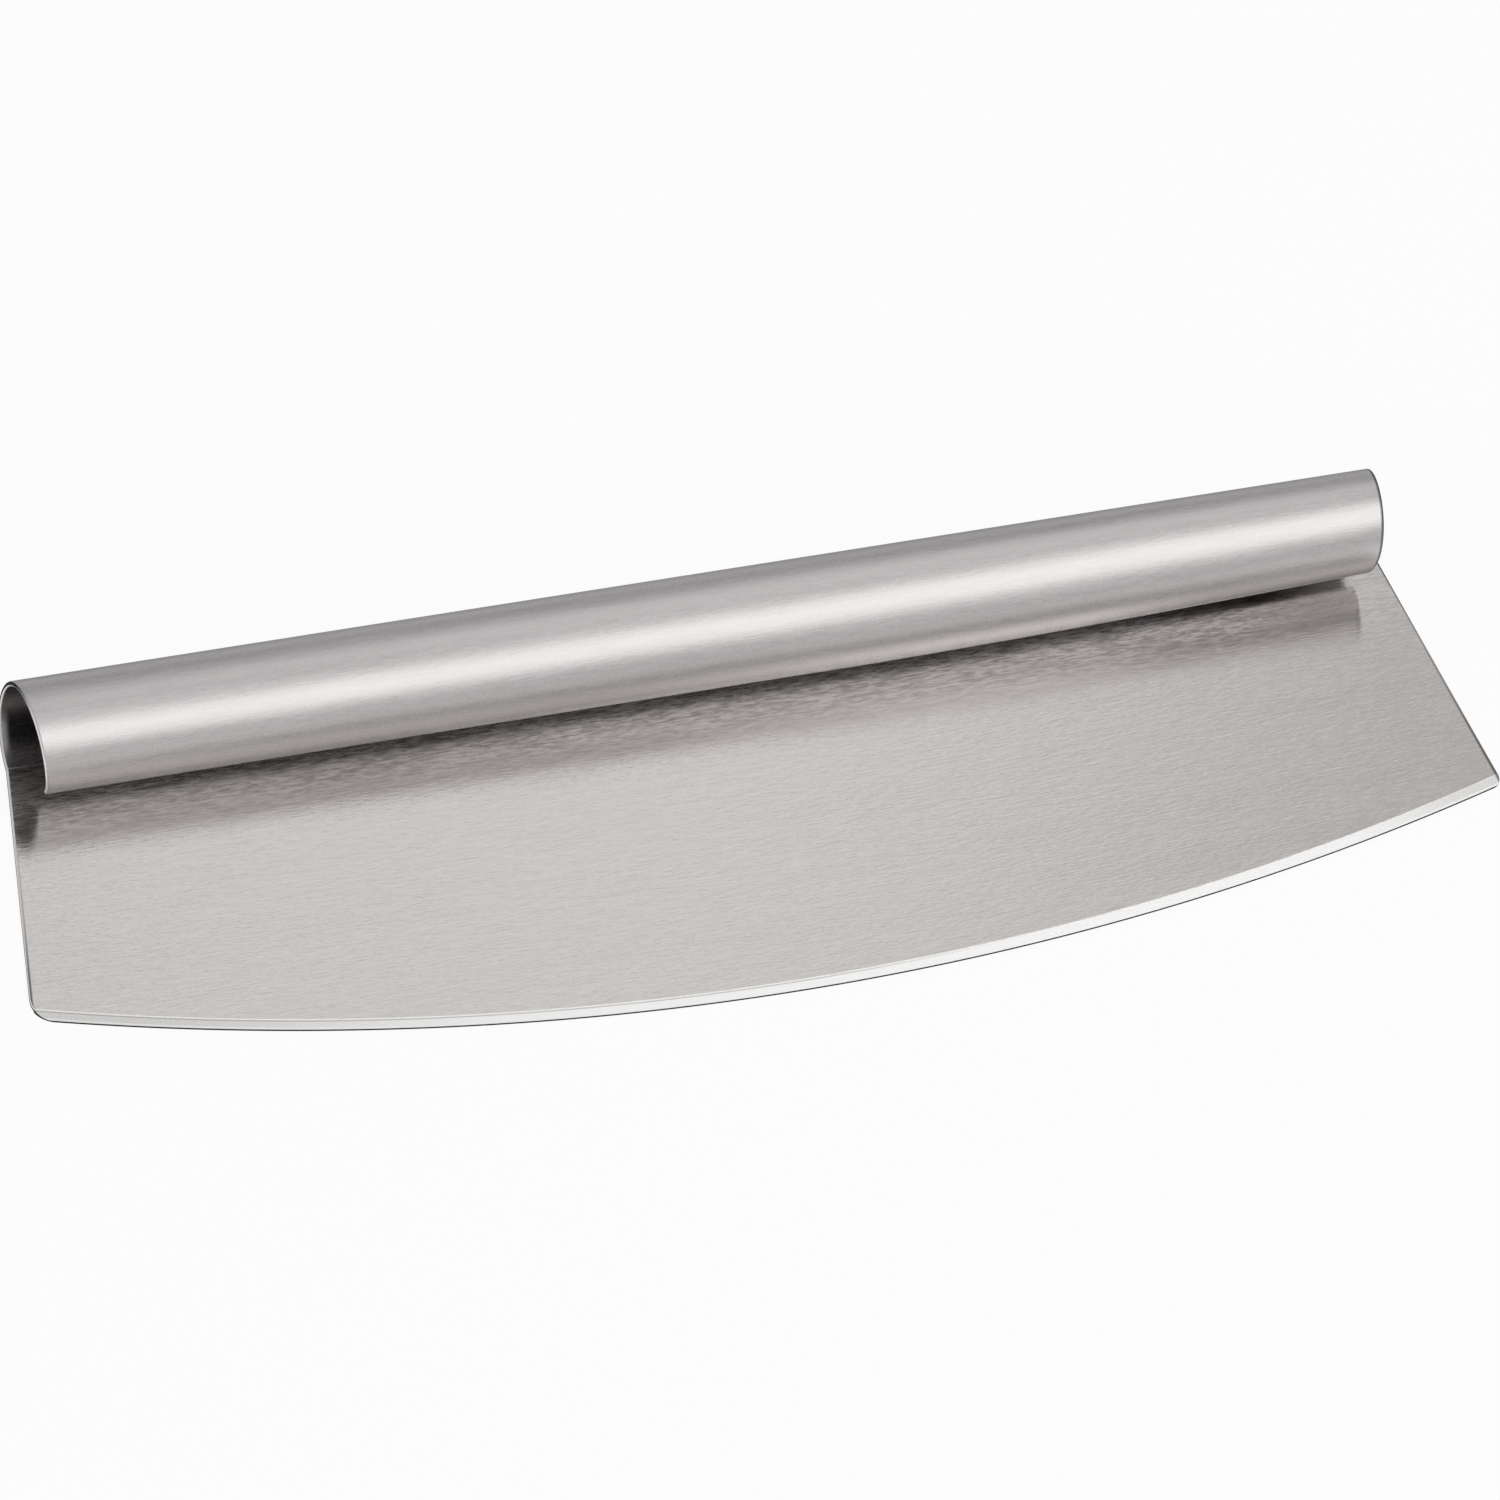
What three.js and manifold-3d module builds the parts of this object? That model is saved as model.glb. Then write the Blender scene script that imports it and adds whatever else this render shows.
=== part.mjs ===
// Rocking pizza cutter made from one sheet of brushed stainless steel.
//
// A flat blade with a ground, convex edge runs up into a tube handle: the sheet's upper stretch is rolled
// forward, round and back towards the blade, and the tube stays open at both ends and along a narrow slot.
// The flat stretch and the rolled stretch meet face to face at the bend line.
//
// Millimetres, +Z up. The cutter lies on the back of its blade. X runs along the handle, Y from the edge
// to the handle, and Z is the height above what it lies on. The origin is the middle of its footprint.

import * as THREE from "three";
import { mergeVertices } from "three/addons/utils/BufferGeometryUtils.js";
import Module from "manifold-3d";

// The sheet
const SHEET_THICKNESS = 1.2;

// The blade
const BLADE_LENGTH = 350; // between the points where the flanks would meet the edge
const BLADE_HEIGHT = 66; // from the line through those points up to the bend line
const EDGE_SAG = 24.5; // how far the edge bows out below that line
const LEFT_CORNER_RADIUS = 6;
const RIGHT_CORNER_RADIUS = 2.5;
const GRIND_WIDTH = 2.5; // of the bevel ground along the edge, on both faces
const EDGE_LAND = 0.4; // thickness left at the very edge

// The handle
const HANDLE_LENGTH = 327; // at the bend line
const HANDLE_DIAMETER = 26.5; // outside
const ROLL_DEGREES = 312; // of sheet rolled up, from the bend line to the free edge
const TOP_DEGREES = 122; // of the roll that keep its full radius, from the bend line over the top
const ROLL_CLOSING = 1.5; // how much smaller the radius of the rest has become at the right end
const CLOSING_LENGTH = 130; // of handle, up to its right end, over which it gets smaller
const CLOSING_POWER = 1.5; // it starts slowly
const FREE_EDGE_TRIM = 2.4; // how much less sheet is rolled up at the right end, so that the slot stays open
const END_DRAW = 5.8; // how far each end has drawn in at the free edge
const END_DRAW_POWER = 1.7; // it starts slowly too
const FREE_CORNER_RADIUS = 2; // at the two corners of the free edge

// Facets
const CURVE_SEGMENTS = 24;
const ROLL_STEPS = 104;
const LENGTH_STEPS = 12;
const GRIND_STEPS = 720;

// Sizes that follow from the ones above
const handleRadius = HANDLE_DIAMETER / 2;
const footprintWidth = EDGE_SAG + BLADE_HEIGHT + handleRadius;
const chordY = EDGE_SAG - footprintWidth / 2;
const bendY = chordY + BLADE_HEIGHT;
const edgeRadius = ((BLADE_LENGTH / 2) ** 2 + EDGE_SAG ** 2) / (2 * EDGE_SAG);
const edgeCentre = new THREE.Vector2(0, chordY - EDGE_SAG + edgeRadius);

const wasm = await Module();
wasm.setup();

// Leaves only positions, with shared vertices merged, so that the surface is closed.
function closed(geometry) {
  geometry.deleteAttribute("normal");
  geometry.deleteAttribute("uv");
  return mergeVertices(geometry);
}

function toSolid(geometry) {
  const surface = closed(geometry);
  return new wasm.Manifold(
    new wasm.Mesh({
      numProp: 3,
      vertProperties: new Float32Array(surface.getAttribute("position").array),
      triVerts: new Uint32Array(surface.getIndex().array),
    }),
  );
}

function toGeometry(solid) {
  const mesh = solid.getMesh();
  const geometry = new THREE.BufferGeometry();
  geometry.setAttribute("position", new THREE.BufferAttribute(mesh.vertProperties, 3));
  geometry.setIndex(new THREE.BufferAttribute(mesh.triVerts, 1));
  return geometry;
}

// Centre of the round between a flank and the edge, one radius inside both of them, on the right side.
function cornerCentre(flankAngle, radius) {
  const along = new THREE.Vector2(Math.sin(flankAngle), -Math.cos(flankAngle));
  const outward = new THREE.Vector2(Math.cos(flankAngle), Math.sin(flankAngle));
  const start = new THREE.Vector2(HANDLE_LENGTH / 2, bendY).addScaledVector(outward, -radius);
  const fromEdgeCentre = start.clone().sub(edgeCentre);
  const reach = edgeRadius - radius;
  const forward = along.dot(fromEdgeCentre);
  const distance = Math.sqrt(forward ** 2 - fromEdgeCentre.lengthSq() + reach ** 2) - forward;
  return start.addScaledVector(along, distance);
}

// Outline of the flat stretch: the edge's arc, two rounded corners, two flanks and the bend line.
function bladeOutline() {
  const flankAngle = Math.atan2((BLADE_LENGTH - HANDLE_LENGTH) / 2, BLADE_HEIGHT);
  const left = cornerCentre(flankAngle, LEFT_CORNER_RADIUS);
  const right = cornerCentre(flankAngle, RIGHT_CORNER_RADIUS);
  const edgeStart = 3 * Math.PI - left.clone().sub(edgeCentre).angle();
  const edgeEnd = right.clone().sub(edgeCentre).angle();
  const outline = new THREE.Shape();
  outline.moveTo(HANDLE_LENGTH / 2, bendY);
  outline.lineTo(-HANDLE_LENGTH / 2, bendY);
  outline.absarc(-left.x, left.y, LEFT_CORNER_RADIUS, Math.PI - flankAngle, edgeStart);
  outline.absarc(edgeCentre.x, edgeCentre.y, edgeRadius, edgeStart, edgeEnd);
  outline.absarc(right.x, right.y, RIGHT_CORNER_RADIUS, edgeEnd, 2 * Math.PI + flankAngle);
  outline.closePath();
  return outline;
}

// Ring that the grindstone sweeps along the front face: a cone about the centre of the edge's arc. The
// cone's line is drawn on by its own length at both ends, so that it passes clear through the sheet's skin.
function grindRing() {
  const depth = (SHEET_THICKNESS - EDGE_LAND) / 2;
  const inside = edgeRadius - 2 * GRIND_WIDTH;
  const outside = edgeRadius + GRIND_WIDTH;
  const above = SHEET_THICKNESS + depth;
  const below = SHEET_THICKNESS - 2 * depth;
  const section = [
    new THREE.Vector2(outside, below),
    new THREE.Vector2(outside, above),
    new THREE.Vector2(inside, above),
    new THREE.Vector2(outside, below),
  ];
  return new THREE.LatheGeometry(section, GRIND_STEPS).rotateX(Math.PI / 2);
}

function bladeGeometry() {
  const sheet = new THREE.ExtrudeGeometry(bladeOutline(), {
    depth: SHEET_THICKNESS,
    bevelEnabled: false,
    curveSegments: CURVE_SEGMENTS,
  });
  const front = grindRing();
  const back = grindRing().rotateX(Math.PI).translate(0, 0, SHEET_THICKNESS);
  const rings = [front, back].map((ring) => ring.translate(edgeCentre.x, edgeCentre.y, 0));
  const ground = rings.reduce((solid, ring) => solid.subtract(toSolid(ring)), toSolid(sheet));
  return toGeometry(ground);
}

// Half the length of the rolled stretch, at a place on the flat sheet above the bend line.
function handleHalfLength(height, developedHeight) {
  const intoCorner = Math.max(0, height - (developedHeight - FREE_CORNER_RADIUS));
  const rounding = FREE_CORNER_RADIUS - Math.sqrt(Math.max(0, FREE_CORNER_RADIUS ** 2 - intoCorner ** 2));
  const draw = END_DRAW * (height / developedHeight) ** END_DRAW_POWER;
  return HANDLE_LENGTH / 2 - draw - rounding;
}

// How far the roll has closed in at a place along the handle, as a share of what it does at the right end.
function closingShare(x) {
  return Math.max(0, 1 - (HANDLE_LENGTH / 2 - x) / CLOSING_LENGTH) ** CLOSING_POWER;
}

// The flat blank of the handle, drawn in towards its free edge and then rolled up. The roll starts at its
// full radius and, past the top, goes on in a smaller one where it has closed in. There its free edge is
// trimmed as well.
function handleGeometry() {
  const middleRadius = handleRadius - SHEET_THICKNESS / 2;
  const developedHeight = middleRadius * THREE.MathUtils.degToRad(ROLL_DEGREES);
  const topAngle = THREE.MathUtils.degToRad(TOP_DEGREES);
  const topHeight = middleRadius * topAngle;
  const blank = closed(
    new THREE.BoxGeometry(2, developedHeight, SHEET_THICKNESS, LENGTH_STEPS, ROLL_STEPS, 1),
  );
  const position = blank.getAttribute("position");
  for (let i = 0; i < position.count; i += 1) {
    const height = position.getY(i) + developedHeight / 2;
    const x = position.getX(i) * handleHalfLength(height, developedHeight);
    const share = height > topHeight ? closingShare(x) : 0;
    const closing = ROLL_CLOSING * share;
    const trimmed = 1 - (FREE_EDGE_TRIM * share) / (developedHeight - topHeight);
    const pastTop = Math.max(0, height - topHeight) * trimmed;
    const angle = Math.min(height, topHeight) / middleRadius + pastTop / (middleRadius - closing);
    const radius = middleRadius - closing - position.getZ(i);
    const y = bendY + closing * Math.sin(topAngle) + radius * Math.sin(angle);
    const z = handleRadius - closing * Math.cos(topAngle) - radius * Math.cos(angle);
    position.setXYZ(i, x, y, z);
  }
  return blank;
}

function brushedSteel(name, geometry, colour, roughness) {
  geometry.computeVertexNormals();
  const material = new THREE.MeshStandardMaterial({ color: colour, roughness, metalness: 1 });
  const mesh = new THREE.Mesh(geometry, material);
  mesh.name = name;
  return mesh;
}

const cutter = new THREE.Group();
cutter.add(brushedSteel("blade", bladeGeometry(), 0xc6c3bf, 0.34));
cutter.add(brushedSteel("handle", handleGeometry(), 0xcac8c5, 0.3));

export default cutter;
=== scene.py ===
# Rocking pizza cutter: one sheet of brushed stainless steel, flat and ground at the blade, rolled into a
# tube at the handle. Metres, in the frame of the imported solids: X along the handle, Y from the cutting
# edge to the handle, Z up from the surface that the cutter lies on.
import math

import bmesh
import bpy
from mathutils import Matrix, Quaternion, Vector


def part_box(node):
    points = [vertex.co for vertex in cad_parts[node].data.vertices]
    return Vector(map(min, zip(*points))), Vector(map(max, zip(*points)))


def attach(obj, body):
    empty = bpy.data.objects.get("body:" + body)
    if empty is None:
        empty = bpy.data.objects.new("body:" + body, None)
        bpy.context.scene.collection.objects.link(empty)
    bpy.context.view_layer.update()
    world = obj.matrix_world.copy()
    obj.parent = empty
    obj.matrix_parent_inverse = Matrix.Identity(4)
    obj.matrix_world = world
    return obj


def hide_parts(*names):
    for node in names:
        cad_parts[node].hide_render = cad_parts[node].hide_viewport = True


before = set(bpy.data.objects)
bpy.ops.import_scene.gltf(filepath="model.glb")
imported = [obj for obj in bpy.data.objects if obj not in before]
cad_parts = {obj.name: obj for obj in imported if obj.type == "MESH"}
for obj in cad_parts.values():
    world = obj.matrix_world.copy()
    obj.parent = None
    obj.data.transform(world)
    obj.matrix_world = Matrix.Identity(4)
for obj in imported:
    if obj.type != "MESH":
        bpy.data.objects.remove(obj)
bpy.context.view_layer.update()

MM = 0.001

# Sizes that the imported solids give
BLADE_LOW, BLADE_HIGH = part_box("blade")
HANDLE_LOW, HANDLE_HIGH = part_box("handle")
SHEET = BLADE_HIGH.z - BLADE_LOW.z
BEND_Y = BLADE_HIGH.y
HANDLE_LENGTH = HANDLE_HIGH.x - HANDLE_LOW.x
TUBE_RADIUS = (HANDLE_HIGH.z - HANDLE_LOW.z) / 2
MIDDLE_RADIUS = TUBE_RADIUS - SHEET / 2
BEND_END = Vector((HANDLE_LENGTH / 2, BEND_Y))

# Sizes of the blade
BLADE_LENGTH = 350 * MM
EDGE_SAG = 24.5 * MM
LEFT_CORNER_RADIUS = 6 * MM
RIGHT_CORNER_RADIUS = 2.5 * MM
GRIND_WIDTH = 2.5 * MM
EDGE_LAND = 0.4 * MM
GRIND_DEPTH = (SHEET - EDGE_LAND) / 2
CHORD_Y = BLADE_LOW.y + EDGE_SAG
EDGE_RADIUS = ((BLADE_LENGTH / 2) ** 2 + EDGE_SAG ** 2) / (2 * EDGE_SAG)
EDGE_CENTRE = Vector((0, BLADE_LOW.y + EDGE_RADIUS))
CREASE_RADIUS = EDGE_RADIUS - GRIND_WIDTH
FLANK_ANGLE = math.atan2((BLADE_LENGTH - HANDLE_LENGTH) / 2, BEND_Y - CHORD_Y)

# Sizes of the rolled handle
ROLL_ANGLE = math.radians(312)
END_DRAW = 5.8 * MM
END_DRAW_POWER = 1.7
CLOSING_POWER = 1.5
ROLL_SIZES = {
    "Length": HANDLE_LENGTH,
    "Middle Radius": MIDDLE_RADIUS,
    "Roll Angle": ROLL_ANGLE,
    "Top Angle": math.radians(122),
    "Closing": 1.5 * MM,
    "Closing Length": 130 * MM,
    "Edge Trim": 2.4 * MM,
    "Sheet": SHEET,
    "End Draw": END_DRAW,
    "Free Corner": 2 * MM,
    "Bend Line": BEND_Y,
}

# Cut edges of the sheet are broken by a small round
EDGE_BREAK = 0.55 * MM
EDGE_BREAK_STEPS = 3

# Facets, the angle that counts as sharp, and how near to a line a place counts as on it
CORNER_STEPS = 20
EDGE_STEPS = 260
ROLL_STEPS = 360
LENGTH_STEPS = 48
SHARP_ANGLE = 1.0
WELD = 0.001 * MM
ON_BEND_LINE = 0.01 * MM
ON_CREASE = 0.01 * GRIND_WIDTH
ON_SEAM_SHARE = 0.0001

# The camera, which looks at a point on the floor
CAMERA_AZIMUTH = math.radians(-27.626)
CAMERA_ELEVATION = math.radians(55.507)
CAMERA_ROLL = math.radians(14.316)
CAMERA_TARGET = Vector((6.19, 13.55, 0)) * MM
CAMERA_DISTANCE = 5586.5 * MM
CAMERA_SIGHT = 4 * CAMERA_DISTANCE
CAMERA_LENS = 589.1
CAMERA_SENSOR = 36

# The studio
WHITE = (1, 1, 1, 1)
FLOOR_HALF = 6.0
FLOOR_DROP = 0.05 * MM
FLOOR_COLOUR = (0.9, 0.9, 0.9, 1)
FLOOR_WHITE_SHARE = 0.92
SKY_FRONT_HORIZON = 0.42
SKY_BACK_HORIZON = 0.17
SKY_LEFT_HORIZON = 0.9
SKY_RIGHT_HORIZON = 0.6
SKY_ZENITH = 0.67
SKY_RISE = 0.55
SKY_BACKWARD = (-0.3, 0.9)
SKY_LEFTWARD = (-0.95, -0.45)
SKY_RIGHTWARD = (0.45, 0.95)
FRONT_SOFTBOX_TOWARDS = Vector((0.27, -0.48, 0.83))
FRONT_SOFTBOX_DISTANCE = 1.3
FRONT_SOFTBOX_SIZE = (1.7, 0.74)
FRONT_SOFTBOX_TURN = math.radians(24)
FRONT_SOFTBOX_GLOW = 0.95
BACK_SOFTBOX_TOWARDS = Vector((0.286, 0.65, 0.72))
BACK_SOFTBOX_DISTANCE = 3.5
BACK_SOFTBOX_SIZE = (0.56, 2.0)
BACK_SOFTBOX_TURN = 0.0
BACK_SOFTBOX_GLOW = 0.36

# Brushing: the length and width of its three kinds of streak, and what each adds to tint and gloss
HAIR = (3 * MM, 0.4 * MM)
LINE = (10 * MM, 0.8 * MM)
BAND = (120 * MM, 7 * MM)
STREAK_LAYERS = 7.0
HAIR_SHARE = 0.5
LINE_SHARE = 0.3
BAND_SHARE = 0.2
FINE_HAIR_SHARE = 0.8
FINE_LINE_SHARE = 0.2
STREAK_CONTRAST = (0.25, 0.75)
HAIR_GLOSS = 0.08
BAND_GLOSS = 0.06
NOISE = {"Scale": 1.0, "Detail": 2.0, "Roughness": 0.6}
EDGE_TINT = (0.25, 0.25, 0.25, 1)
ANISOTROPY = 0.88
GRAIN_TURN = 0.25
GRAIN_SHIFT = 100

# Finish of the blade, and what changes on it under the handle. Pairs are places between which it changes.
BLADE_DARK = (0.587, 0.558, 0.548, 1)
BLADE_LIGHT = (0.67, 0.639, 0.628, 1)
BLADE_ROUGHNESS = 0.1
BLADE_RELIEF = 0.045 * MM
UNDER_HANDLE = (-24 * MM, -8 * MM)
UNDER_HANDLE_END = (95 * MM, 140 * MM)
UNDER_HANDLE_END_SHARE = 0.25
UNDER_HANDLE_ROUGHNESS = 0.28
STREAKS_UNDER_HANDLE = (-25 * MM, -9 * MM)
STREAKS_END = (125 * MM, 150 * MM)
STREAKS_END_SHARE = 0.2
UNDER_DARK = (0.41, 0.39, 0.384, 1)
UNDER_LIGHT = (0.97, 0.924, 0.908, 1)
UNDER_CONTRAST = (0.33, 0.67)

# Finish of the strip that is ground along the edge, with painted highlight lines and a painted shade line
GROUND_DARK = (0.72, 0.71, 0.7, 1)
GROUND_LIGHT = (0.86, 0.85, 0.84, 1)
GROUND_BRIGHT = (0.98, 0.975, 0.97, 1)
STEP_SHADE = (0.35, 0.34, 0.33, 1)
GROUND_ROUGHNESS = 0.42
GROUND_BLUR = 0.04 * MM
STONE_GRAIN = (0.4 * MM, 0.35 * MM)
STONE_CONTRAST = (0.3, 0.7)
BRIGHT_MIDDLE_START = (-150 * MM, -60 * MM)
BRIGHT_MIDDLE_END = (135 * MM, 170 * MM)
STEP_LINE = (GRIND_WIDTH - 0.45 * MM, GRIND_WIDTH - 0.15 * MM)
STEP_END = (0.0, 60 * MM)
STEP_SHARE = 0.55
UPPER_LINE = (GRIND_WIDTH - 0.1 * MM, GRIND_WIDTH + 0.2 * MM)
UPPER_BLUR = 0.06 * MM
EDGE_HIGHLIGHT_LINE = (0.2 * MM, 0.65 * MM)
EDGE_HIGHLIGHT_BLUR = 0.08 * MM
BRIGHT_LINE_SHARE = 0.85
LAND_BLUR = (0.05 * MM, 0.18 * MM)

# Finish of the handle, painted light and shade on its underside with the lip at the free edge, and
# painted shade inside the roll with a painted glint near each end
HANDLE_DARK = (0.572, 0.555, 0.552, 1)
HANDLE_LIGHT = (0.662, 0.643, 0.64, 1)
HANDLE_ROUGHNESS = 0.27
HANDLE_RELIEF = 0.028 * MM
UNDERSIDE = (54.5 * MM, 60 * MM)
UNDERSIDE_LIGHT_START = (-40 * MM, 65 * MM)
UNDERSIDE_LIGHT_END = (85 * MM, 125 * MM)
UNDERSIDE_SHADE = (0.45, 0.437, 0.434, 1)
UNDERSIDE_LIGHT = (0.72, 0.699, 0.694, 1)
LIP = (61 * MM, 65 * MM)
LIP_LIGHT_START = (-90 * MM, 0.0)
LIP_SHADE = (0.72, 0.699, 0.694, 1)
LIP_LIGHT = (0.99, 0.965, 0.96, 1)
INNER_FACE = (0.3 * MM, 0.5 * MM)
INSIDE_START = (2 * MM, 9 * MM)
INSIDE_LOW_END = (10 * MM, 23 * MM)
INSIDE_RIGHT_START = (60 * MM, 140 * MM)
INSIDE_LOW_SHADE = (0.17, 0.165, 0.16, 1)
INSIDE_LEFT_SHADE = (0.5, 0.49, 0.485, 1)
INSIDE_RIGHT_SHADE = (0.14, 0.135, 0.13, 1)
GLINT_PATCH = (4 * MM, 13 * MM)
GLINT_BLUR = 3 * MM
GLINT_DEPTH = (1.0 * MM, 2.6 * MM)
GLINT_ROUGHENING = 0.25

# Finish of the cut edges, with painted shade on their back part and towards the right, and the painted
# shade line along the cut ends
CUT_BRIGHT = (0.85, 0.84, 0.83, 1)
CUT_DULL_AND_SHADE = (0.05, 0.048, 0.046, 1)
CUT_BRIGHT_DULLING = 0.12
CUT_DULL_ROUGHNESS = 0.85
CUT_BLUR = (0.005 * MM, 0.03 * MM)
FRACTURE_AND_SHADE_DEPTH = (0.15 * MM, 0.4 * MM)
FRACTURE_AND_SHADE_OVER_ROLL = (30 * MM, 45 * MM)
RIGHT_CUT_SHADE = (0.0, 100 * MM)
END_LINE = (0.5 * MM, 0.95 * MM)
END_LINE_SHARE = 0.75
BLADE_LINE_END = (-60 * MM, -10 * MM)
BLADE_LINE_END_SHARE = 0.15
HANDLE_LINE_START = (-50 * MM, 50 * MM)
HANDLE_LINE_END = (56 * MM, 62 * MM)
HANDLE_LINE_END_SHARE = 0.3


class Wire:
    """A node socket that takes part in arithmetic. Each operation adds one Math node to its tree."""

    def __init__(self, tree, socket=None):
        self.tree = tree
        self.socket = socket

    def add(self, kind, settings=None, inputs=None, output=0):
        """Adds a node with its settings and its socket values or links, and returns one output."""
        node = self.tree.nodes.new(kind)
        for name, value in (settings or {}).items():
            setattr(node, name, value)
        for key, value in (inputs or {}).items():
            if isinstance(value, Wire):
                self.tree.links.new(value.socket, node.inputs[key])
            else:
                node.inputs[key].default_value = value
        return Wire(self.tree, node.outputs[output] if node.outputs else None)

    def output(self, name):
        """Another output of the node that this socket belongs to."""
        return Wire(self.tree, self.socket.node.outputs[name])

    def math(self, operation, *values):
        return self.add("ShaderNodeMath", {"operation": operation}, dict(enumerate(values)))

    def __add__(self, other):
        return self.math("ADD", self, other)

    def __radd__(self, other):
        return self.math("ADD", other, self)

    def __sub__(self, other):
        return self.math("SUBTRACT", self, other)

    def __rsub__(self, other):
        return self.math("SUBTRACT", other, self)

    def __mul__(self, other):
        return self.math("MULTIPLY", self, other)

    def __rmul__(self, other):
        return self.math("MULTIPLY", other, self)

    def __truediv__(self, other):
        return self.math("DIVIDE", self, other)

    def __rtruediv__(self, other):
        return self.math("DIVIDE", other, self)

    def __pow__(self, other):
        return self.math("POWER", self, other)

    def __gt__(self, other):
        return self.math("GREATER_THAN", self, other)

    def __lt__(self, other):
        return self.math("LESS_THAN", self, other)

    def __abs__(self):
        return self.math("ABSOLUTE", self)

    def at_least(self, other):
        return self.math("MAXIMUM", self, other)

    def at_most(self, other):
        return self.math("MINIMUM", self, other)

    def smooth(self, low, high, to_low=0.0, to_high=1.0):
        """Eases from one value to another as this value goes from low to high."""
        return self.add(
            "ShaderNodeMapRange",
            {"interpolation_type": "SMOOTHSTEP"},
            {"Value": self, "From Min": low, "From Max": high, "To Min": to_low, "To Max": to_high},
        )


# Materials

def new_material(name):
    """An empty node material, with a wire to build its tree from."""
    material = bpy.data.materials.new(name)
    material.use_nodes = True
    material.node_tree.nodes.clear()
    return material, Wire(material.node_tree)


def noise(wire, dimensions, place):
    """Noise from 0 to 1, with grains of about one unit."""
    return wire.add("ShaderNodeTexNoise", {"noise_dimensions": dimensions}, {"Vector": place, **NOISE})


def streaks(wire, along, across, layer, size):
    """Noise drawn out along the handle, into streaks of about that length and width."""
    length, width = size
    place = wire.add("ShaderNodeCombineXYZ", None, {0: along / length, 1: across / width, 2: layer})
    return noise(wire, "3D", place)


def mixed(wire, share, low, high):
    """A colour between two others."""
    return wire.add("ShaderNodeMix", {"data_type": "RGBA"}, {0: share, 6: low, 7: high}, output=2)


def strip(distance, near, far, blur):
    """1 between two distances and 0 outside them."""
    return distance.smooth(near - blur, near + blur) * distance.smooth(far - blur, far + blur, 1.0, 0.0)


def cut_share(skin, depth):
    """1 in a cut edge and 0 on both faces of the sheet, which lie at the skin's depth."""
    return (skin - abs(depth)).smooth(*CUT_BLUR)


def edge_distance(along, across):
    """How far a place on the blade lies inside the edge's arc."""
    up = across + (BEND_Y - EDGE_CENTRE.y)
    return EDGE_RADIUS - (along * along + up * up) ** 0.5


def grind(wire, tint, gloss, along, across, inside):
    """The strip ground along the edge: a painted highlight at its upper line and a painted shade line
    under it, the stone's grain, and a painted highlight line at the bottom. It is brightest in the middle
    of its length.
    """
    ground = inside.smooth(GRIND_WIDTH - GROUND_BLUR, GRIND_WIDTH + GROUND_BLUR, 1.0, 0.0)
    grain_length, grain_width = STONE_GRAIN
    place = wire.add("ShaderNodeCombineXYZ", None, {0: along / grain_length, 1: across / grain_width})
    stone = noise(wire, "2D", place)
    # The ground strip is brightest in the middle of its length
    bright_middle = along.smooth(*BRIGHT_MIDDLE_START) * along.smooth(*BRIGHT_MIDDLE_END, 1.0, 0.0)
    field = mixed(wire, stone.smooth(*STONE_CONTRAST), GROUND_DARK, GROUND_LIGHT)
    field = mixed(wire, bright_middle, field, GROUND_BRIGHT)
    tint = mixed(wire, ground, tint, field)
    # Painted shade: a dark line under the grind's upper line, strongest on the left
    step_shade = strip(inside, *STEP_LINE, UPPER_BLUR)
    tint = mixed(wire, step_shade * along.smooth(*STEP_END, STEP_SHARE, 0.0), tint, STEP_SHADE)
    # Painted highlights: bright lines at the grind's upper line and near the edge
    crease_highlight = strip(inside, *UPPER_LINE, UPPER_BLUR)
    edge_highlight = strip(inside, *EDGE_HIGHLIGHT_LINE, EDGE_HIGHLIGHT_BLUR)
    tint = mixed(wire, crease_highlight.at_least(edge_highlight) * BRIGHT_LINE_SHARE, tint, GROUND_BRIGHT)
    return tint, gloss + ground * (GROUND_ROUGHNESS - gloss), ground


def finish_blade(wire, sheet, fine, tint, gloss, broken):
    """Makes the blade duller under the handle, with stronger streaks, and grinds its edge. The painted
    shade line along its cut ends is strongest low down.
    """
    along, across, depth = sheet
    under = across.smooth(*UNDER_HANDLE) * along.smooth(*UNDER_HANDLE_END, 1.0, UNDER_HANDLE_END_SHARE)
    gloss = gloss + under * (UNDER_HANDLE_ROUGHNESS - BLADE_ROUGHNESS)
    coarse = mixed(wire, fine.smooth(*UNDER_CONTRAST), UNDER_DARK, UNDER_LIGHT)
    streaked = across.smooth(*STREAKS_UNDER_HANDLE) * along.smooth(*STREAKS_END, 1.0, STREAKS_END_SHARE)
    tint = mixed(wire, streaked, tint, coarse)
    inside = edge_distance(along, across)
    tint, gloss, ground = grind(wire, tint, gloss, along, across, inside)
    skin = (EDGE_LAND / 2 + inside * (GRIND_DEPTH / GRIND_WIDTH)).at_most(SHEET / 2)
    # The land along the edge counts as a cut edge, and the ground strip turns it dark: painted shade along
    # the edge
    cut = cut_share(skin, depth).at_least(inside.smooth(*LAND_BLUR, 1.0, 0.0))
    # Painted shade line along the blade's cut ends
    inset = HANDLE_LENGTH / 2 - across * math.tan(FLANK_ANGLE) - abs(along)
    lined = across.smooth(*BLADE_LINE_END, 1.0, BLADE_LINE_END_SHARE)
    return tint, gloss, cut, broken.at_least(ground), inset.smooth(*END_LINE, 1.0, 0.0) * lined


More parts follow.
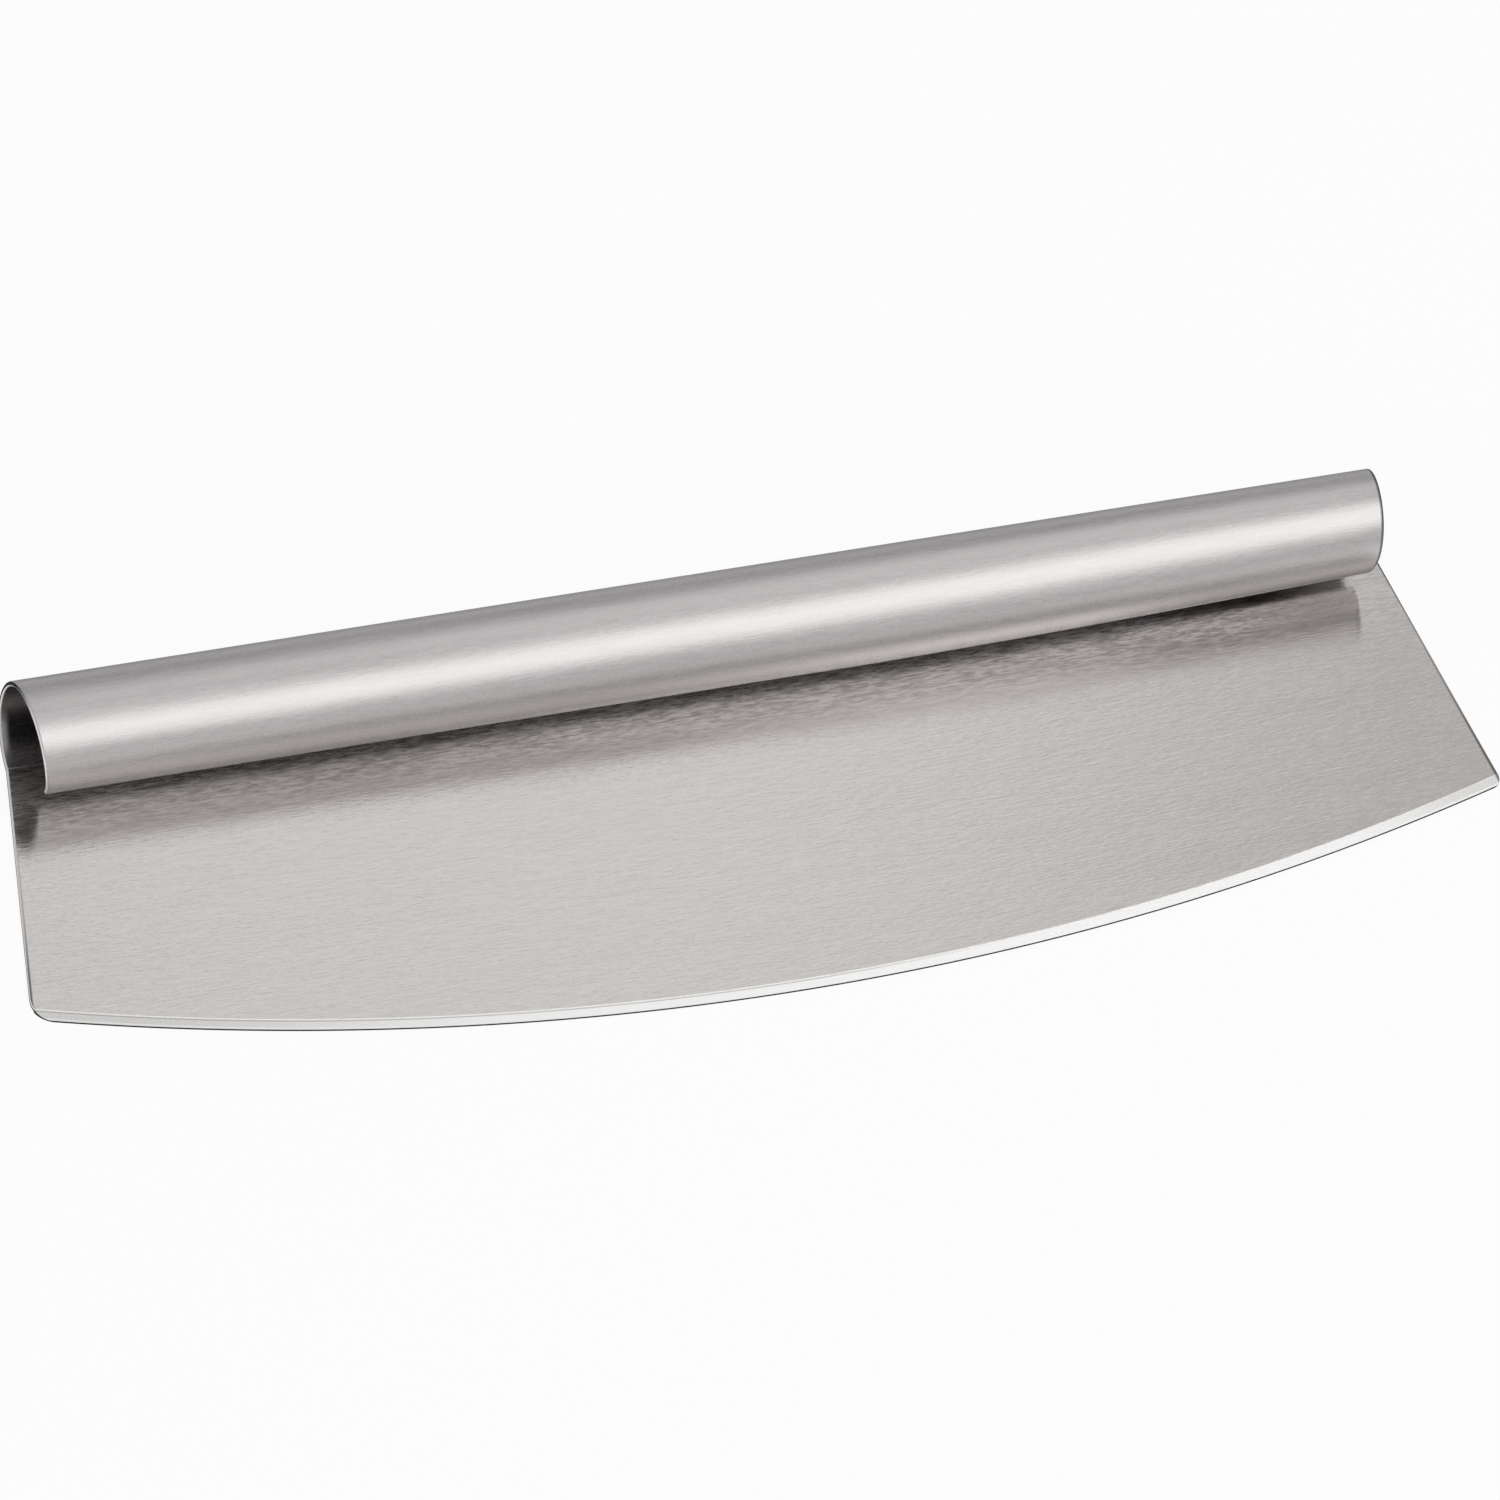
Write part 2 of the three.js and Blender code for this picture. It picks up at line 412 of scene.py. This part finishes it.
def finish_handle(wire, sheet, _fine, tint, gloss, broken):
    """Paints light and shade on the handle's underside and shade inside its roll. The painted shade inside
    is darker towards the right and low down, with a painted glint at each end.
    """
    along, across, depth = sheet
    # Painted light and shade on the underside and the lip
    lit = along.smooth(*UNDERSIDE_LIGHT_START) * along.smooth(*UNDERSIDE_LIGHT_END, 1.0, 0.0)
    lip = mixed(wire, along.smooth(*LIP_LIGHT_START), LIP_SHADE, LIP_LIGHT)
    underside = mixed(wire, lit, UNDERSIDE_SHADE, UNDERSIDE_LIGHT)
    underside = mixed(wire, across.smooth(*LIP), underside, lip)
    tint = mixed(wire, across.smooth(*UNDERSIDE), tint, underside)
    # Painted shade inside the roll, darker towards the right and low down
    inside = depth.smooth(*INNER_FACE)
    shade = mixed(wire, along.smooth(*INSIDE_RIGHT_START), INSIDE_LEFT_SHADE, INSIDE_RIGHT_SHADE)
    shade = mixed(wire, across.smooth(*INSIDE_LOW_END), INSIDE_LOW_SHADE, shade)
    tint = mixed(wire, inside * across.smooth(*INSIDE_START), tint, shade)
    rolled_up = across.at_least(0.0) / (MIDDLE_RADIUS * ROLL_ANGLE)
    inset = HANDLE_LENGTH / 2 - rolled_up ** END_DRAW_POWER * END_DRAW - abs(along)
    # Painted glint: a bright patch on the inside near each end
    painted_glint = strip(across, *GLINT_PATCH, GLINT_BLUR) * inset.smooth(*GLINT_DEPTH, 1.0, 0.0) * inside
    tint = mixed(wire, painted_glint, tint, CUT_BRIGHT)
    gloss = gloss + painted_glint * GLINT_ROUGHENING
    cut = cut_share(SHEET / 2, depth)
    # The dark back part of the cut edges, partly fracture and partly painted shade, fades out over the
    # roll
    broken = broken * across.smooth(*FRACTURE_AND_SHADE_OVER_ROLL, 1.0, 0.0)
    # Painted shade line along the handle's cut ends
    lined = along.smooth(*HANDLE_LINE_START) * across.smooth(*HANDLE_LINE_END, 1.0, HANDLE_LINE_END_SHARE)
    return tint, gloss, cut, broken, inset.smooth(*END_LINE, 1.0, 0.0) * lined


def brushed_steel(name, dark, light, roughness, relief, finish):
    """Stainless steel brushed along the handle. Short fine streaks change its tint, gloss and height. A
    cut edge is bright where the shear pressed it, towards the front, and dull and dark towards the back,
    partly where it broke and partly as painted shade. The cut edges towards the right are painted shade
    too. A painted shade line runs along the cut ends.
    """
    material, wire = new_material(name)
    place = wire.add("ShaderNodeAttribute", {"attribute_name": "sheet"}, output="Vector")
    along = wire.add("ShaderNodeSeparateXYZ", None, {0: place})
    across = along.output("Y")
    depth = along.output("Z")
    layer = depth / SHEET * STREAK_LAYERS
    hair, line, band = (streaks(wire, along, across, layer, size) for size in (HAIR, LINE, BAND))
    fine = hair * FINE_HAIR_SHARE + line * FINE_LINE_SHARE
    mark = hair * HAIR_SHARE + line * LINE_SHARE + band * BAND_SHARE
    tint = mixed(wire, mark.smooth(*STREAK_CONTRAST), dark, light)
    gloss = roughness + (hair - 0.5) * HAIR_GLOSS + (band - 0.5) * BAND_GLOSS
    # The dark back part of a cut edge: partly the fracture of the shear, partly painted shade
    broken = depth.smooth(*FRACTURE_AND_SHADE_DEPTH, 1.0, 0.0)
    sheet = (along, across, depth)
    tint, gloss, cut, broken, shade_line = finish(wire, sheet, fine, tint, gloss, broken)
    # Painted shade line along the cut ends
    tint = mixed(wire, shade_line * END_LINE_SHARE, tint, CUT_DULL_AND_SHADE)
    # Painted shade: the cut edges turn dark towards the right
    broken = broken.at_least(along.smooth(*RIGHT_CUT_SHADE))
    # Cut edges: bright at the front, dark at the back and towards the right, which is partly painted shade
    tint = mixed(wire, cut, tint, mixed(wire, broken, CUT_BRIGHT, CUT_DULL_AND_SHADE))
    dulling = CUT_BRIGHT_DULLING + broken * (CUT_DULL_ROUGHNESS - CUT_BRIGHT_DULLING - gloss)
    bumps = wire.add("ShaderNodeBump", None, {"Strength": 1.0, "Distance": relief, "Height": fine})
    steel = wire.add(
        "ShaderNodeBsdfPrincipled",
        None,
        {
            "Base Color": tint,
            "Metallic": 1.0,
            "Roughness": gloss + cut * dulling,
            "Specular Tint": EDGE_TINT,
            "Anisotropic": ANISOTROPY,
            "Anisotropic Rotation": GRAIN_TURN,
            "Normal": bumps,
        },
    )
    wire.add("ShaderNodeOutputMaterial", None, {"Surface": steel})
    return material


def floor_white():
    """Matt white floor. What is seen straight or in a reflection is mostly plain white, with a shadow."""
    material, wire = new_material("floor_white")
    path = wire.add("ShaderNodeLightPath", output="Is Camera Ray")
    seen = path.at_least(path.output("Is Glossy Ray")).at_least(path.output("Is Transmission Ray"))
    matt = wire.add("ShaderNodeBsdfDiffuse", None, {"Color": FLOOR_COLOUR})
    plain = wire.add("ShaderNodeEmission", None, {"Color": WHITE, "Strength": 1.0})
    shown = wire.add("ShaderNodeMixShader", None, {0: seen * FLOOR_WHITE_SHARE, 1: matt, 2: plain})
    wire.add("ShaderNodeOutputMaterial", None, {"Surface": shown})
    return material


# Pieces

def link(name, data):
    item = bpy.data.objects.new(name, data)
    bpy.context.scene.collection.objects.link(item)
    return item


def lay_grain(mesh):
    """Moves the mesh's texture space far to one side, so that the default tangent runs along X."""
    mesh.use_auto_texspace = False
    mesh.texspace_location = (0, -GRAIN_SHIFT, 0)
    mesh.texspace_size = (1, 1, 1)


def settle(piece):
    """Breaks the edges that carry a bevel weight, evens the normals and makes the result plain mesh."""
    broken = piece.modifiers.new("edge_break", "BEVEL")
    broken.limit_method = "WEIGHT"
    broken.width = EDGE_BREAK
    broken.segments = EDGE_BREAK_STEPS
    broken.use_clamp_overlap = False
    even = piece.modifiers.new("even_normals", "WEIGHTED_NORMAL")
    even.keep_sharp = True
    seen = piece.evaluated_get(bpy.context.evaluated_depsgraph_get())
    mesh = bpy.data.meshes.new_from_object(seen)
    piece.modifiers.clear()
    piece.data = mesh
    mesh.name = piece.name
    lay_grain(mesh)
    return piece


def dress(piece, node):
    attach(piece, "root")
    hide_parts(node)


def turn_points(centre, radius, start, end, steps):
    """Points along an arc, from its start up to, but not including, its end."""
    angles = [start + (end - start) * i / steps for i in range(steps)]
    return [centre + radius * Vector((math.cos(a), math.sin(a))) for a in angles]


def circle_crossing(start, along, radius, side):
    """Where a line crosses a circle about the edge's centre: coming in for side -1, going out for 1."""
    offset = start - EDGE_CENTRE
    forward = along.dot(offset)
    half_chord = math.sqrt(forward ** 2 - offset.length_squared + radius ** 2)
    return start + along * (side * half_chord - forward)


def corner_centre(radius):
    """Centre of the round between the right flank and the edge, one radius inside both of them."""
    along = Vector((math.sin(FLANK_ANGLE), -math.cos(FLANK_ANGLE)))
    outward = Vector((math.cos(FLANK_ANGLE), math.sin(FLANK_ANGLE)))
    return circle_crossing(BEND_END - outward * radius, along, EDGE_RADIUS - radius, 1)


def half_outline(radius):
    """The right half of the blade's outline, from the middle of the edge to the bend line, and the number
    of its points that are ground. The grind starts where it meets the corner's round, or the flank above.
    """
    corner = corner_centre(radius)
    reach = EDGE_RADIUS - radius
    radial = math.atan2(corner.y - EDGE_CENTRE.y, corner.x)
    ground = (CREASE_RADIUS ** 2 - reach ** 2 - radius ** 2) / (2 * reach * radius)
    turn = math.acos(max(-1, ground))
    edge = turn_points(EDGE_CENTRE, EDGE_RADIUS, -math.pi / 2, radial, EDGE_STEPS // 2)
    flank = turn_points(corner, radius, FLANK_ANGLE, FLANK_ANGLE + 1, 1)
    if radial + turn < FLANK_ANGLE:
        low = turn_points(corner, radius, radial, radial + turn, CORNER_STEPS)
        high = turn_points(corner, radius, radial + turn, FLANK_ANGLE, CORNER_STEPS)
        return edge + low + high + flank + [BEND_END], len(edge) + len(low) + 1
    low = turn_points(corner, radius, radial, FLANK_ANGLE, CORNER_STEPS)
    upward = (BEND_END - flank[0]).normalized()
    crossing = circle_crossing(flank[0], upward, CREASE_RADIUS, -1)
    return edge + low + flank + [crossing, BEND_END], len(edge) + len(low) + 2


def blade_outline():
    """The blade's outline, from the left end of the bend line round to its right end, with the numbers of
    its first and last ground points.
    """
    left, left_ground = half_outline(LEFT_CORNER_RADIUS)
    right, right_ground = half_outline(RIGHT_CORNER_RADIUS)
    outline = [Vector((-p.x, p.y)) for p in reversed(left[1:])] + right
    return outline, len(left) - left_ground, len(left) + right_ground - 2


def mark_edges(build):
    """Gives the blade's cut edges a bevel weight. The grind's lines and the bend line stay sharp."""
    weights = build.edges.layers.float.new("bevel_weight_edge")
    for edge in build.edges:
        radii = [(v.co.xy - EDGE_CENTRE).length for v in edge.verts]
        on_ground = max(radii) > CREASE_RADIUS + ON_CREASE
        on_crease = not on_ground and min(radii) > CREASE_RADIUS - ON_CREASE
        seam = all(abs(v.co.y - BEND_Y) < ON_BEND_LINE for v in edge.verts)
        upright = abs(edge.verts[0].co.z - edge.verts[1].co.z) > SHEET / 2
        corner = edge.calc_face_angle(0) > SHARP_ANGLE
        edge[weights] = 1.0 if corner and not (on_ground or on_crease or seam or upright) else 0.0
        edge.smooth = not (on_crease or seam or (on_ground and corner))


def blade_sheet(steel):
    """The flat stretch of the sheet. Front and back are one outline, drawn together along the grind."""
    outline, first_ground, last_ground = blade_outline()
    build = bmesh.new()

    def lift(point):
        inside = EDGE_RADIUS - (point - EDGE_CENTRE).length
        return GRIND_DEPTH * max(0.0, 1 - inside / GRIND_WIDTH)

    def crease(point):
        return EDGE_CENTRE + (point - EDGE_CENTRE).normalized() * CREASE_RADIUS

    def row(points, height):
        return [build.verts.new((p.x, p.y, height(p))) for p in points]

    def face_rows(lower, upper):
        for i in range(len(lower) - 1):
            build.faces.new((lower[i], lower[i + 1], upper[i + 1], upper[i]))

    creases = [crease(p) for p in outline[first_ground:last_ground + 1]]
    back = row(outline, lift)
    front = row(outline, lambda p: SHEET - lift(p))
    back_crease = row(creases, lambda p: 0.0)
    front_crease = row(creases, lambda p: SHEET)
    face_rows(back, front)
    build.faces.new((back[-1], back[0], front[0], front[-1]))
    face_rows(front[first_ground:last_ground + 1], front_crease)
    face_rows(back_crease, back[first_ground:last_ground + 1])
    build.faces.new(front[:first_ground] + front_crease + front[last_ground + 1:])
    build.faces.new(list(reversed(back[:first_ground] + back_crease + back[last_ground + 1:])))
    bmesh.ops.remove_doubles(build, verts=build.verts, dist=WELD)
    mark_edges(build)
    mesh = bpy.data.meshes.new("blade_sheet")
    build.to_mesh(mesh)
    build.free()
    place = mesh.attributes.new("sheet", "FLOAT_VECTOR", "POINT")
    for item, vertex in zip(place.data, mesh.vertices):
        item.vector = (vertex.co.x, vertex.co.y - BEND_Y, vertex.co.z - SHEET / 2)
    mesh.polygons.foreach_set("use_smooth", [True] * len(mesh.polygons))
    mesh.materials.append(steel)
    return settle(link("blade_sheet", mesh))


def roll_tree(steel):
    """A flat blank, drawn in towards its free edge and rolled up. Past the top, the roll goes on in a
    smaller radius where it has closed in, and its free edge is trimmed there.
    """
    tree = bpy.data.node_groups.new("rolled_handle", "GeometryNodeTree")
    tree.is_modifier = True
    for name in ROLL_SIZES:
        tree.interface.new_socket(name, in_out="INPUT", socket_type="NodeSocketFloat")
    tree.interface.new_socket("Geometry", in_out="OUTPUT", socket_type="NodeSocketGeometry")
    wire = Wire(tree)
    given = wire.add("NodeGroupInput")
    length, radius, angle, top, closing, closing_length, trim, sheet, draw, corner, bend = (
        given.output(name) for name in ROLL_SIZES
    )
    counts = {"Vertices X": LENGTH_STEPS + 1, "Vertices Y": ROLL_STEPS + 1, "Vertices Z": 3}
    blank = wire.add("GeometryNodeMeshCube", None, {"Size": (2, 1, 1), **counts})
    side = wire.add("ShaderNodeSeparateXYZ", None, {0: wire.add("GeometryNodeInputPosition")})
    share = (side.output("Y") + 0.5).at_least(0.0)
    depth = side.output("Z") * sheet
    developed = radius * angle
    height = share * developed
    into_corner = (height - (developed - corner)).at_least(0.0)
    left_over = (corner * corner - into_corner * into_corner).at_least(0.0)
    x = side * (length / 2.0 - draw * share ** END_DRAW_POWER - (corner - left_over ** 0.5))
    beyond = (height - radius * top).at_least(0.0)
    near_end = (1.0 - (length / 2.0 - x) / closing_length).at_least(0.0) ** CLOSING_POWER * (beyond > 0.0)
    closed = closing * near_end
    past_top = beyond * (1.0 - trim * near_end / (developed - radius * top))
    turn = height.at_most(radius * top) / radius + past_top / (radius - closed)
    reach = radius - closed - depth
    y = bend + closed * wire.math("SINE", top) + reach * wire.math("SINE", turn)
    z = radius + sheet / 2.0 - closed * wire.math("COSINE", top) - reach * wire.math("COSINE", turn)
    sharp = wire.add("GeometryNodeInputMeshEdgeAngle") > SHARP_ANGLE
    flat = wire.add("ShaderNodeCombineXYZ", None, {0: x, 1: height, 2: depth})
    marked = wire.add(
        "GeometryNodeStoreNamedAttribute",
        {"data_type": "FLOAT_VECTOR", "domain": "POINT"},
        {"Geometry": blank, "Name": "sheet", "Value": flat},
    )
    weighted = wire.add(
        "GeometryNodeStoreNamedAttribute",
        {"data_type": "FLOAT", "domain": "EDGE"},
        {"Geometry": marked, "Name": "bevel_weight_edge", "Value": sharp * (share > ON_SEAM_SHARE)},
    )
    rolled = wire.add("ShaderNodeCombineXYZ", None, {0: x, 1: y, 2: z})
    shaped = wire.add("GeometryNodeSetPosition", None, {"Geometry": weighted, "Position": rolled})
    smooth = wire.add("GeometryNodeSetShadeSmooth", None, {"Geometry": shaped})
    seamed = wire.add(
        "GeometryNodeSetShadeSmooth",
        {"domain": "EDGE"},
        {"Geometry": smooth, "Selection": sharp * (share < ON_SEAM_SHARE), "Shade Smooth": False},
    )
    real = wire.add("GeometryNodeRealizeInstances", None, {"Geometry": seamed})
    finished = wire.add("GeometryNodeSetMaterial", None, {"Geometry": real, "Material": steel})
    wire.add("NodeGroupOutput", None, {"Geometry": finished})
    return tree


def handle_roll(steel):
    """The rolled stretch of the sheet."""
    piece = link("handle_roll", bpy.data.meshes.new("handle_roll"))
    roll = piece.modifiers.new("roll", "NODES")
    roll.node_group = roll_tree(steel)
    for socket in roll.node_group.interface.items_tree:
        if socket.in_out == "INPUT":
            roll[socket.identifier] = ROLL_SIZES[socket.name]
    return settle(piece)


# The studio

def lay_floor():
    mesh = bpy.data.meshes.new("floor")
    corners = [(-1, -1), (1, -1), (1, 1), (-1, 1)]
    points = [(x * FLOOR_HALF, y * FLOOR_HALF, -FLOOR_DROP) for x, y in corners]
    mesh.from_pydata(points, [], [(0, 1, 2, 3)])
    mesh.materials.append(floor_white())
    floor = link("floor", mesh)


def light_sky():
    """A dim studio dome, bright to both sides and darker at the horizon, most of all behind the handle."""
    world = bpy.data.worlds.new("studio")
    bpy.context.scene.world = world
    world.use_nodes = True
    world.node_tree.nodes.clear()
    wire = Wire(world.node_tree)
    towards = wire.add("ShaderNodeTexCoord", output="Generated")
    sideways = wire.add("ShaderNodeSeparateXYZ", None, {0: towards})
    behind = sideways.output("Y").smooth(*SKY_BACKWARD)
    horizon = SKY_FRONT_HORIZON + behind * (SKY_BACK_HORIZON - SKY_FRONT_HORIZON)
    horizon = horizon + sideways.smooth(*SKY_LEFTWARD, 1.0, 0.0) * (SKY_LEFT_HORIZON - horizon)
    horizon = horizon + sideways.smooth(*SKY_RIGHTWARD) * (SKY_RIGHT_HORIZON - horizon)
    upward = sideways.output("Z").at_least(0.0) ** SKY_RISE
    sky = horizon + upward * (SKY_ZENITH - horizon)
    light = wire.add("ShaderNodeBackground", None, {"Color": WHITE, "Strength": sky})
    wire.add("ShaderNodeOutputWorld", None, {"Surface": light})


def face(item, towards, turn):
    """Points a lamp or camera along a direction and turns it about that line."""
    item.rotation_mode = "QUATERNION"
    item.rotation_quaternion = towards.to_track_quat("-Z", "Y") @ Quaternion((0, 0, 1), turn)


def hang_softbox(name, towards, distance, size, turn, glow):
    """A soft lamp that faces the cutter. Its glow is how bright it looks next to the dome's white."""
    data = bpy.data.lights.new(name, "AREA")
    data.shape = "RECTANGLE"
    data.size, data.size_y = size
    data.energy = glow * math.pi * size[0] * size[1]
    lamp = link(name, data)
    lamp.location = towards.normalized() * distance
    face(lamp, -towards, turn)


def place_camera():
    data = bpy.data.cameras.new("camera")
    data.lens = CAMERA_LENS
    data.sensor_width = CAMERA_SENSOR
    data.clip_end = CAMERA_SIGHT
    camera = link("camera", data)
    level = math.cos(CAMERA_ELEVATION)
    back = Vector((
        math.sin(CAMERA_AZIMUTH) * level,
        -math.cos(CAMERA_AZIMUTH) * level,
        math.sin(CAMERA_ELEVATION),
    ))
    camera.location = CAMERA_TARGET + back * CAMERA_DISTANCE
    face(camera, -back, CAMERA_ROLL)
    bpy.context.scene.camera = camera


bpy.context.scene.view_settings.view_transform = "Standard"
place_camera()
light_sky()
hang_softbox(
    "front_softbox",
    FRONT_SOFTBOX_TOWARDS,
    FRONT_SOFTBOX_DISTANCE,
    FRONT_SOFTBOX_SIZE,
    FRONT_SOFTBOX_TURN,
    FRONT_SOFTBOX_GLOW,
)
hang_softbox(
    "back_softbox",
    BACK_SOFTBOX_TOWARDS,
    BACK_SOFTBOX_DISTANCE,
    BACK_SOFTBOX_SIZE,
    BACK_SOFTBOX_TURN,
    BACK_SOFTBOX_GLOW,
)
lay_floor()

blade_steel = brushed_steel(
    "blade_steel", BLADE_DARK, BLADE_LIGHT, BLADE_ROUGHNESS, BLADE_RELIEF, finish_blade
)
handle_steel = brushed_steel(
    "handle_steel", HANDLE_DARK, HANDLE_LIGHT, HANDLE_ROUGHNESS, HANDLE_RELIEF, finish_handle
)
dress(blade_sheet(blade_steel), "blade")
dress(handle_roll(handle_steel), "handle")
